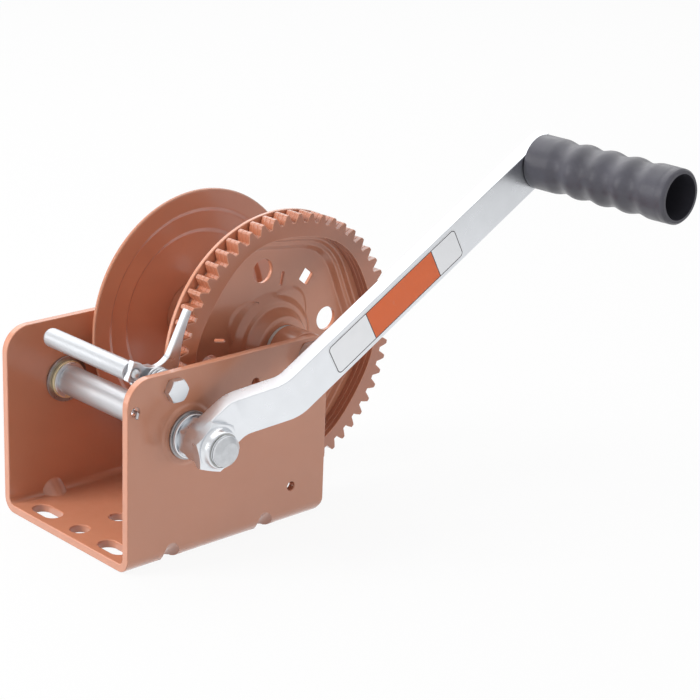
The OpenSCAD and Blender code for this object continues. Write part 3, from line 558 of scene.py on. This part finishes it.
def tree_of(name, sizes):
    """A Geometry Nodes tree with named inputs for its sizes: (tree, {name: Socket}, output)"""
    group = bpy.data.node_groups.new(name, "GeometryNodeTree")
    group.interface.new_socket("Geometry", in_out="OUTPUT", socket_type="NodeSocketGeometry")
    group.interface.new_socket("Geometry", in_out="INPUT", socket_type="NodeSocketGeometry")
    group.interface.new_socket("Finish", in_out="INPUT", socket_type="NodeSocketMaterial")
    for label, value in sizes.items():
        kind = "NodeSocketInt" if isinstance(value, int) else "NodeSocketFloat"
        group.interface.new_socket(label, in_out="INPUT", socket_type=kind)
    tree = Tree(group)
    entry = group.nodes.new("NodeGroupInput")
    given = {s.name: Socket(tree, s) for s in entry.outputs if s.name}
    return tree, given, group.nodes.new("NodeGroupOutput")


def close_tree(tree, geometry, given, output):
    """Ends a tree in Realize Instances and Set Material"""
    real = tree.add("GeometryNodeRealizeInstances", values={"Geometry": geometry})
    coated = tree.add("GeometryNodeSetMaterial", values={"Geometry": real, "Material": given["Finish"]})
    tree.feed(output.inputs[0], coated)
    return tree.tree


def grown(piece, group, finish, sizes):
    """Runs a Geometry Nodes tree on a piece with these sizes and keeps the plain mesh"""
    modifier = piece.modifiers.new("grown", "NODES")
    modifier.node_group = group
    for item in group.interface.items_tree:
        if item.in_out == "INPUT" and item.name == "Finish":
            modifier[item.identifier] = finish
        elif item.in_out == "INPUT" and item.name in sizes:
            modifier[item.identifier] = sizes[item.name]
    return plain_mesh(piece)


def stepped(row, rings):
    """A value for each range of rows, as a sum of masks"""
    total = None
    for (low, high), value in rings:
        term = row.between(low - 0.5, high + 0.5) * value
        total = term if total is None else total + term
    return total


ROWS = 96
LAST_ROW = ROWS + 4
SPINDLE_HOLE_R = 0.00505
RIM_LINE_BACK, RIM_LINE_HALF = 0.0052, 0.0006
LIP, LIP_DROP, END_TAPER = 0.0014, 0.0010, 0.0003


def grip_tree(sizes):
    """A tube wall by rule: hub bore, outside with finger waves, rim and hollow, closed on itself"""
    tree, given, output = tree_of("grip_wall", sizes)
    tube = tree.add("GeometryNodeMeshCylinder", {"fill_type": "NONE"}, {
        "Vertices": 96, "Side Segments": LAST_ROW, "Radius": 1.0, "Depth": float(LAST_ROW)})
    place = tree.add("GeometryNodeInputPosition")
    parts = tree.add("ShaderNodeSeparateXYZ", values={"Vector": place})
    x, y, z = (parts.sibling(i) for i in range(3))
    row = z + LAST_ROW / 2
    # rows: 0 hub bore at the arm, 1 to ROWS the outside, then the rim, the hollow's floor and the hub bore
    share = ((row - 1.0) / (ROWS - 1.0)).math("MAXIMUM", 0.0).math("MINIMUM", 1.0)
    along = share * given["Length"]
    wave_span = given["Waves"] * given["Wave pitch"]
    into = along - (given["Length"] - wave_span) / 2.0
    waving = into.math("GREATER_THAN", 0.0) * (wave_span - into).math("GREATER_THAN", 0.0)
    phase = (into / given["Wave pitch"] * (2 * math.pi)).math("COSINE")
    valley = (1.0 - phase) * given["Wave height"] * 0.5 * waving
    tip = along - (given["Length"] - RIM_LINE_BACK)
    line = (1.0 - ((tip / RIM_LINE_HALF).math("ABSOLUTE")).math("MINIMUM", 1.0)) * given["Rim line"]
    lip = ((along - (given["Length"] - LIP)) / LIP).math("MAXIMUM", 0.0)
    taper = (along / given["Length"]).math("POWER", 6.0) * END_TAPER
    outside = given["Diameter"] / 2.0 - valley - taper - line - lip * lip * LIP_DROP
    bore = given["Bore"] / 2.0
    hub = given["Hub radius"]
    radius = stepped(row, [
        ((0, 0), hub), ((1, ROWS), outside), ((ROWS + 1, ROWS + 2), bore), ((ROWS + 3, LAST_ROW), hub)])
    floor_at = given["Length"] - given["Hollow"]
    depth = stepped(row, [
        ((1, ROWS), along), ((ROWS + 1, ROWS + 1), given["Length"]), ((ROWS + 2, ROWS + 3), floor_at)])
    spot = tree.add("ShaderNodeCombineXYZ", values={
        0: x * radius + given["Axis X"], 1: given["Start"] - depth, 2: y * radius + given["Axis Z"]})
    shaped = tree.add("GeometryNodeSetPosition", values={"Geometry": tube, "Position": spot})
    joined = tree.add("GeometryNodeMergeByDistance", values={"Geometry": shaped, "Distance": 1e-5})
    return close_tree(tree, joined, given, output)


def wire_tree(sizes):
    """A round wire along the polyline that the tree is given"""
    tree, given, output = tree_of("wire_along_path", sizes)
    path = tree.add("GeometryNodeMeshToCurve", values={"Mesh": given["Geometry"]})
    ring = tree.add("GeometryNodeCurvePrimitiveCircle", values={
        "Resolution": 12, "Radius": given["Wire radius"]})
    tube = tree.add("GeometryNodeCurveToMesh", values={"Curve": path, "Profile Curve": ring, "Fill Caps": True})
    return close_tree(tree, tube, given, output)


def thread_tree(sizes):
    """A ridge wound round a Y axis"""
    tree, given, output = tree_of("thread_ridge", sizes)
    turns = given["Length"] / given["Pitch"]
    helix = tree.add("GeometryNodeCurveSpiral", values={
        "Resolution": 48, "Rotations": turns, "Start Radius": given["Radius"], "End Radius": given["Radius"],
        "Height": given["Length"]})
    profile = tree.add("GeometryNodeCurvePrimitiveCircle", values={
        "Resolution": 4, "Radius": given["Pitch"] * 0.36})
    ridge = tree.add("GeometryNodeCurveToMesh", values={
        "Curve": helix, "Profile Curve": profile, "Fill Caps": True})
    place = tree.add("ShaderNodeCombineXYZ", values={0: given["Axis X"], 1: given["Start"], 2: given["Axis Z"]})
    turned = tree.add("GeometryNodeTransform", values={
        "Geometry": ridge, "Translation": place, "Rotation": (math.radians(-90), 0.0, 0.0)})
    return close_tree(tree, turned, given, output)


def shaded(mesh, angle=40):
    """Smooth faces with the sharp folds kept, normals outward"""
    bm = bmesh.new()
    bm.from_mesh(mesh)
    bmesh.ops.recalc_face_normals(bm, faces=bm.faces)
    crease(bm, math.radians(angle))
    bm.to_mesh(mesh)
    bm.free()
    return mesh


class WINCH_OT_painted_sheet(bpy.types.Operator):
    """Paint the frame, the drum and the toothed plates, with eased edges"""

    bl_idname = "winch.painted_sheet"
    bl_label = "Painted sheet"

    def execute(self, context):
        edges = settings("edges")
        coat = finish_once("terracotta_paint", paint)
        for node in ("frame", "drum_flange_gear_side", "drum_flange_far", "drum_core", "axle_spacer_near"):
            dressed(node, coat, edges.sheet, 3, prefix="painted_")
        for node in ("gear_plate_outer", "gear_plate_middle", "gear_plate_inner"):
            dressed(node, coat, edges.teeth, 3, prefix="painted_", ease=eased_plate)
        return {"FINISHED"}


class WINCH_OT_plated_steel(bpy.types.Operator):
    """Plate the crank, pawl, shafts, nuts and rings"""

    bl_idname = "winch.plated_steel"
    bl_label = "Plated steel"

    def execute(self, context):
        edges = settings("edges")
        plate = finish_once("bright_zinc", zinc)
        drawn = finish_once("drawn_zinc", drawn_zinc)
        yellow = finish_once("yellow_zinc", yellow_zinc)
        dressed("crank_arm", plate, edges.bar, 3, prefix="plated_")
        dressed("pawl_plate", plate, edges.bar, 3, prefix="plated_", ease=eased_plate)
        dressed("pinion", plate, edges.small, 2, prefix="plated_", ease=eased_plate)
        for node in ("drive_shaft", "pawl_rod", "axle_sleeve"):
            dressed(node, drawn, edges.small, 2, prefix="plated_")
        for node in (
            "axle_washer", "axle_spacer_far", "pawl_spacer", "shaft_spacer", "thrust_washer_near",
            "shaft_ring", "grip_spindle",
        ):
            dressed(node, plate, edges.small, 2, prefix="plated_")
        for node in ("axle_bolt", "axle_nut", "pawl_bolt", "pawl_nut", "hex_spacer", "lock_nut"):
            dressed(node, plate, 0.0, prefix="plated_")
        dressed("thrust_washer_far", yellow, edges.small, 2, prefix="plated_")
        return {"FINISHED"}


class WINCH_OT_bushes(bpy.types.Operator):
    """Finish the shaft's steel bushes, the drum's nylon bushes and the nut's insert"""

    bl_idname = "winch.bushes"
    bl_label = "Bushes"

    def execute(self, context):
        width = settings("edges").small
        for node in ("shaft_bush_near", "shaft_bush_far"):
            dressed(node, finish_once("grey_bush", bush), width, prefix="moulded_")
        for node in ("drum_bush_near", "drum_bush_far", "lock_nut_insert"):
            dressed(node, finish_once("moulded_nylon", nylon), width, prefix="moulded_")
        return {"FINISHED"}


class WINCH_OT_grip(bpy.types.Operator):
    """Mould the grip with its finger waves and hollow end"""

    bl_idname = "winch.grip"
    bl_label = "Grip"

    def execute(self, context):
        grip = settings("grip")
        low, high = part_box("grip")
        axis = JOINT_AT["grip_spin"]
        sizes = {
            "Length": high.y - low.y, "Start": high.y, "Axis X": axis.x, "Axis Z": axis.z,
            "Diameter": grip.diameter, "Bore": grip.bore, "Hollow": grip.hollow, "Hub radius": SPINDLE_HOLE_R,
            "Wave height": grip.wave_height, "Wave pitch": grip.wave_pitch, "Waves": grip.waves,
            "Rim line": grip.rim_line,
        }
        plastic = finish_once("grip_plastic", grip_plastic)
        piece = new_piece("moulded_grip", bpy.data.meshes.new("moulded_grip"))
        piece = grown(piece, grip_tree(sizes), plastic, sizes)
        shaded(piece.data)
        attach(piece, "grip")
        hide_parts("grip")
        return {"FINISHED"}


def spring_route():
    """The wire's middle line: leg under the pawl, coil round the spacer, leg out through the wall"""
    pivot = JOINT_AT["pawl_pivot"]
    wire, coil_r, whole_turns = 1.6 * MM, 7.0 * MM, 4
    front, wall_in, wall_out = -61 * MM, 49.5 * MM, 54 * MM
    wall_gap, pawl_gap = 0.5 * MM, 0.6 * MM
    pawl_near, pawl_far = (corner.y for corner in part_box("pawl_plate"))
    near, far = -wall_in + wire / 2 + wall_gap, pawl_near - wire / 2 - pawl_gap
    foot = Vector((pivot.x - 12.5 * MM, pivot.z + 1.4 * MM - wire / 2))
    hole = Vector((front + 5.1 * MM, 86.2 * MM))
    centre = Vector((pivot.x, pivot.z))

    def tangent(to):
        d = to - centre
        return math.atan2(d.y, d.x) + math.acos(coil_r / d.length)

    def around(angle):
        return centre + coil_r * Vector((math.cos(angle), math.sin(angle)))

    start, finish = tangent(foot), tangent(hole)
    sweep = whole_turns * 2 * math.pi + (finish - start) % (2 * math.pi)
    steps = round(sweep / math.radians(15))

    def corner(p, y, towards, turn):
        """A rounded turn from the wall's plane into the Y direction"""
        bend = 6
        a, b, c = p + wire * 1.2 * towards, p, y + wire * 1.2 * turn
        points = []
        for i in range(bend + 1):
            k = i / bend
            flat = (1 - k) ** 2 * a + 2 * k * (1 - k) * b + k ** 2 * b
            points.append((flat.x, (1 - k) ** 2 * y + 2 * k * (1 - k) * y + k ** 2 * c, flat.y))
        return points

    path = [(foot.x, (pawl_near + pawl_far) / 2, foot.y)]
    path += reversed(corner(foot, far, (around(start) - foot).normalized(), 1))
    for i in range(steps + 1):
        k = i / steps
        p = around(start + sweep * k)
        path.append((p.x, far + (near - far) * k, p.y))
    path += corner(hole, near, (around(finish) - hole).normalized(), -1)
    out = -wall_out
    path += [(hole.x, out - 0.4 * MM, hole.y), (hole.x - 0.3 * MM, out - 1.6 * MM, hole.y - 0.4 * MM),
             (hole.x - 1.6 * MM, out - 2.6 * MM, hole.y - 2.4 * MM)]
    return path, wire / 2, [(pivot.x, y, pivot.z) for y in (near, far)]


class WINCH_OT_pawl_spring(bpy.types.Operator):
    """Wind the pawl's wire spring"""

    bl_idname = "winch.pawl_spring"
    bl_label = "Pawl spring"

    def execute(self, context):
        path, radius, (coil_near, coil_far) = spring_route()
        mesh = bpy.data.meshes.new("wound_pawl_spring")
        mesh.from_pydata(path, [(i, i + 1) for i in range(len(path) - 1)], [])
        piece = new_piece("wound_pawl_spring", mesh)
        sizes = {"Wire radius": radius}
        piece = grown(piece, wire_tree(sizes), finish_once("spring_wire", spring_wire), sizes)
        shaded(piece.data)
        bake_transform(piece)
        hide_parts("pawl_spring")
        return {"FINISHED"}


class WINCH_OT_threads(bpy.types.Operator):
    """Cut threads on the ends of the shaft, the axle and the pawl's bolt"""

    bl_idname = "winch.threads"
    bl_label = "Threads"

    def execute(self, context):
        threads = settings("threads")
        plate = finish_once("bright_zinc", zinc)
        shaft, drum, pawl = (JOINT_AT[n] for n in ("crank_spin", "drum_spin", "pawl_pivot"))
        stud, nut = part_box("drive_shaft"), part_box("lock_nut")
        axle, axle_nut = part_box("axle_bolt"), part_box("axle_nut")
        bolt, bolt_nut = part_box("pawl_bolt"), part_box("pawl_nut")
        shaft_r, axle_r, bolt_r = 0.00785, 0.00635, 0.003175
        shaft_span = stud[0].y + 0.0026, nut[0].y + 0.0022
        axle_span = axle_nut[1].y - 0.001, axle[1].y - 0.0014
        bolt_span = bolt_nut[1].y - 0.0006, bolt[1].y - 0.0006
        sunk = 0.22
        group = None
        for name, axis, radius, (low, high), pitch, body in (
            ("shaft_thread", shaft, shaft_r, shaft_span, threads.shaft_pitch, "crank"),
            ("axle_thread", drum, axle_r, axle_span, threads.axle_pitch, "frame"),
            ("pawl_bolt_thread", pawl, bolt_r, bolt_span, threads.pawl_pitch, "frame"),
        ):
            sizes = {
                "Axis X": axis.x, "Axis Z": axis.z, "Start": low, "Length": high - low,
                "Radius": radius - pitch * sunk, "Pitch": pitch,
            }
            group = group or thread_tree(sizes)
            piece = new_piece(name, bpy.data.meshes.new(name))
            piece = grown(piece, group, plate, sizes)
            shaded(piece.data, 30)
            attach(piece, body)
        return {"FINISHED"}


class WINCH_OT_label(bpy.types.Operator):
    """Lay the plain printed label on the crank's outer face"""

    bl_idname = "winch.label"
    bl_label = "Label"

    def execute(self, context):
        label = settings("label")
        grip_at, shaft_at = JOINT_AT["grip_spin"], JOINT_AT["crank_spin"]
        along = Vector((grip_at.x - shaft_at.x, 0.0, grip_at.z - shaft_at.z)).normalized()
        across = Vector((-along.z, 0.0, along.x))
        face_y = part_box("crank_arm")[0].y
        bm = bmesh.new()
        uv = bm.loops.layers.uv.new("label_mm")
        corners, r, corner_steps = [], label.corner, 8
        for cx, cy, first in (
            (label.end - r, label.half_width - r, 0), (label.start + r, label.half_width - r, 90),
            (label.start + r, r - label.half_width, 180), (label.end - r, r - label.half_width, 270),
        ):
            for step in range(corner_steps + 1):
                angle = math.radians(first + 90 * step / corner_steps)
                corners.append((cx + r * math.cos(angle), cy + r * math.sin(angle)))
        rings = []
        middle = (label.start + label.end) / 2
        levels = ((0.00001, 0.0), (0.00009, 0.0), (0.00013, 0.00008))
        for lift, inset in levels:
            ring = []
            for s, t in corners:
                s_in = s - math.copysign(inset, s - middle)
                t_in = t - math.copysign(inset, t)
                point = shaft_at + along * s_in + across * t_in
                ring.append(bm.verts.new((point.x, face_y - lift, point.z)))
            rings.append(ring)
        for lower, upper in zip(rings, rings[1:]):
            for i in range(len(corners)):
                j = (i + 1) % len(corners)
                bm.faces.new((lower[i], lower[j], upper[j], upper[i]))
        bm.faces.new(rings[-1])
        bm.faces.new(list(reversed(rings[0])))
        bmesh.ops.recalc_face_normals(bm, faces=bm.faces)
        for face in bm.faces:
            for loop in face.loops:
                offset = loop.vert.co - shaft_at
                loop[uv].uv = (offset.dot(along) / MM, offset.dot(across) / MM)
        mesh = bpy.data.meshes.new("crank_label")
        bm.to_mesh(mesh)
        bm.free()
        mesh.materials.append(finish_once("label_print", label_print))
        piece = new_piece("crank_label", mesh)
        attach(piece, "crank")
        return {"FINISHED"}


def panel_lamp(name, place, target, size, power):
    data = bpy.data.lights.new(name, "AREA")
    data.shape, data.size, data.size_y, data.energy = "RECTANGLE", size[0], size[1], power
    lamp = bpy.data.objects.new(name, data)
    lamp.location = place
    lamp.rotation_mode = "QUATERNION"
    lamp.rotation_quaternion = (Vector(target) - Vector(place)).to_track_quat("-Z", "Y")
    bpy.context.scene.collection.objects.link(lamp)
    return lamp


def add_camera(studio):
    az, el, roll = studio.azimuth, studio.elevation, studio.roll
    back = Vector((math.sin(az) * math.cos(el), -math.cos(az) * math.cos(el), math.sin(el)))
    right = Vector((math.cos(az), math.sin(az), 0.0))
    up = back.cross(right)
    turned_right = math.cos(roll) * right + math.sin(roll) * up
    turned_up = math.cos(roll) * up - math.sin(roll) * right
    data = bpy.data.cameras.new("camera")
    data.lens, data.sensor_width = studio.lens, 36.0
    data.clip_start, data.clip_end = 0.05, 50.0
    camera = bpy.data.objects.new("camera", data)
    turn = Matrix((turned_right, turned_up, back)).transposed()
    camera.matrix_world = Matrix.Translation(Vector(studio.camera)) @ turn.to_4x4()
    bpy.context.scene.collection.objects.link(camera)
    bpy.context.scene.camera = camera


def add_world(studio):
    world = bpy.data.worlds.new("studio_room")
    world.use_nodes = True
    bpy.context.scene.world = world
    t = Tree(world.node_tree)
    background = world.node_tree.nodes["Background"]
    rays = t.add("ShaderNodeLightPath")
    seen = rays.sibling("Is Camera Ray").math("MAXIMUM", rays.sibling("Is Transmission Ray"))
    glossy = rays.sibling("Is Glossy Ray")
    direction = t.add("ShaderNodeTexCoord", output="Generated")
    up = t.add("ShaderNodeSeparateXYZ", values={"Vector": direction}).sibling(2)
    shade = up.math("MULTIPLY_ADD", -0.12, 1.0)
    strength = seen + (1.0 - seen) * (glossy * shade + (1.0 - glossy) * studio.ambient)
    background.inputs["Color"].default_value = (1.0, 1.0, 1.0, 1.0)
    t.feed(background.inputs["Strength"], strength)


def add_floor():
    bm = bmesh.new()
    bmesh.ops.create_grid(bm, x_segments=1, y_segments=1, size=6.0)
    mesh = bpy.data.meshes.new("floor")
    bm.to_mesh(mesh)
    bm.free()
    floor = new_piece("floor", mesh)
    floor.location.z = -0.0002
    f = Finish("studio_floor", Roughness=0.9)
    f.set("Base Color", (0.45, 0.45, 0.45))
    rays = f.add("ShaderNodeLightPath")
    camera, glossy = rays.sibling("Is Camera Ray"), rays.sibling("Is Glossy Ray")
    reach = f.add("ShaderNodeVectorMath", {"operation": "LENGTH"}, {0: f.place}, output="Value")
    # camera rays see an even white; reflections see the floor glow, brighter near the winch: a painted pool of
    # light
    seen = camera * 1.05 + glossy * f.spread(reach, 0.35, 1.3, 1.15, 0.7)
    glow = f.add("ShaderNodeEmission", values={"Color": (1.0, 1.0, 1.0), "Strength": seen})
    mixed = f.add("ShaderNodeMixShader", values={
        0: (camera * 0.88).math("MAXIMUM", glossy), 1: Socket(f, f.shader.outputs[0]), 2: glow})
    f.tree.links.new(mixed.out, f.tree.nodes["Material Output"].inputs["Surface"])
    mesh.materials.append(f.material)


class WINCH_OT_studio(bpy.types.Operator):
    """Set the pale floor, the soft lamps and the camera"""

    bl_idname = "winch.studio"
    bl_label = "Studio"

    def execute(self, context):
        studio = settings("studio")
        add_world(studio)
        add_floor()
        target = (0.02, 0.0, 0.08)
        panel_lamp("overhead_panel", (0.5, 0.95, 1.5), target, (2.6, 2.2), studio.key)
        panel_lamp("left_panel", (-1.25, 0.95, 0.35), target, (0.6, 1.0), studio.side)
        opening = panel_lamp("opening_panel", (-1.1, 0.5, 0.95), target, (0.6, 0.6), studio.opening)
        opening.visible_glossy = False
        front = panel_lamp("front_panel", (0.3, -1.5, 0.15), target, (1.2, 0.2), studio.fill)
        front.visible_glossy = False
        add_camera(studio)
        context.scene.view_settings.view_transform = "Standard"
        return {"FINISHED"}


OPERATORS = (
    WINCH_OT_painted_sheet, WINCH_OT_plated_steel, WINCH_OT_bushes, WINCH_OT_grip,
    WINCH_OT_pawl_spring, WINCH_OT_threads, WINCH_OT_label, WINCH_OT_studio,
)


class WINCH_PT_panel(bpy.types.Panel):
    bl_label = "Trailer winch"
    bl_space_type = "VIEW_3D"
    bl_region_type = "UI"
    bl_category = "Winch"

    def draw(self, context):
        for operator in OPERATORS:
            self.layout.operator(operator.bl_idname)
        for name, group in GROUPS.items():
            box = self.layout.box()
            for prop in group.__annotations__:
                box.prop(getattr(context.scene, name), prop)


def register():
    for item in (*GROUPS.values(), *OPERATORS, WINCH_PT_panel):
        bpy.utils.register_class(item)
    for name, group in GROUPS.items():
        setattr(bpy.types.Scene, name, bpy.props.PointerProperty(type=group))


def unregister():
    for name in GROUPS:
        delattr(bpy.types.Scene, name)
    for item in reversed((*GROUPS.values(), *OPERATORS, WINCH_PT_panel)):
        bpy.utils.unregister_class(item)


def main():
    register()
    bpy.ops.winch.painted_sheet()
    bpy.ops.winch.plated_steel()
    bpy.ops.winch.bushes()
    bpy.ops.winch.grip()
    bpy.ops.winch.pawl_spring()
    bpy.ops.winch.threads()
    bpy.ops.winch.label()
    bpy.ops.winch.studio()


if __name__ == "__main__":
    main()
